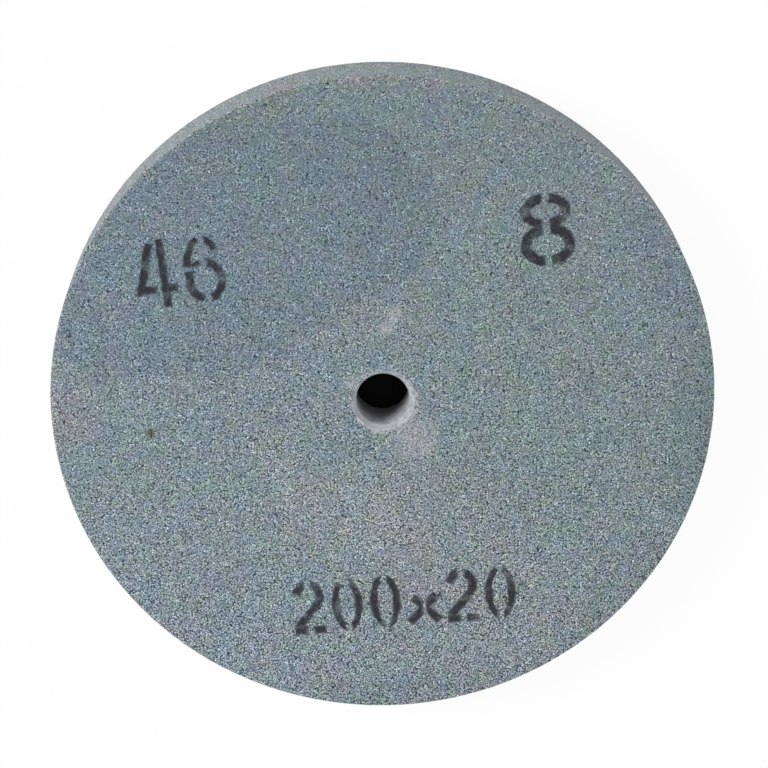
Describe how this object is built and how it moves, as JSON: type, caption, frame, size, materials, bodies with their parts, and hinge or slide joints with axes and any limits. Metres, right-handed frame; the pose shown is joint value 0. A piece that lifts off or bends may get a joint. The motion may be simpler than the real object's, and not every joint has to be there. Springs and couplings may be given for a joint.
{
  "type": "bench grinding wheel",
  "caption": "Straight bench grinding wheel: a flat-faced disc of grey-green bonded abrasive with a pale cast lining in its central arbor bore.",
  "frame": {"origin": "on the bore's axis, at the back face that the wheel lies on", "axes": "+Z along the bore, out of the marked front face; the marks read upright seen from the front with +Y up"},
  "size_m": [0.2, 0.2, 0.02],
  "materials": {
    "vitrified_silicon_carbide": "coarse open grain, dull, grey-green with blue and pale grains",
    "cast_cement_lining": "smooth matt cast cement",
    "stencil_ink": "dull black ink, thin and broken over the grain"
  },
  "bodies": {
    "root": {"abrasive_wheel": "vitrified_silicon_carbide", "bore_lining": "cast_cement_lining"}
  },
  "joints": []
}
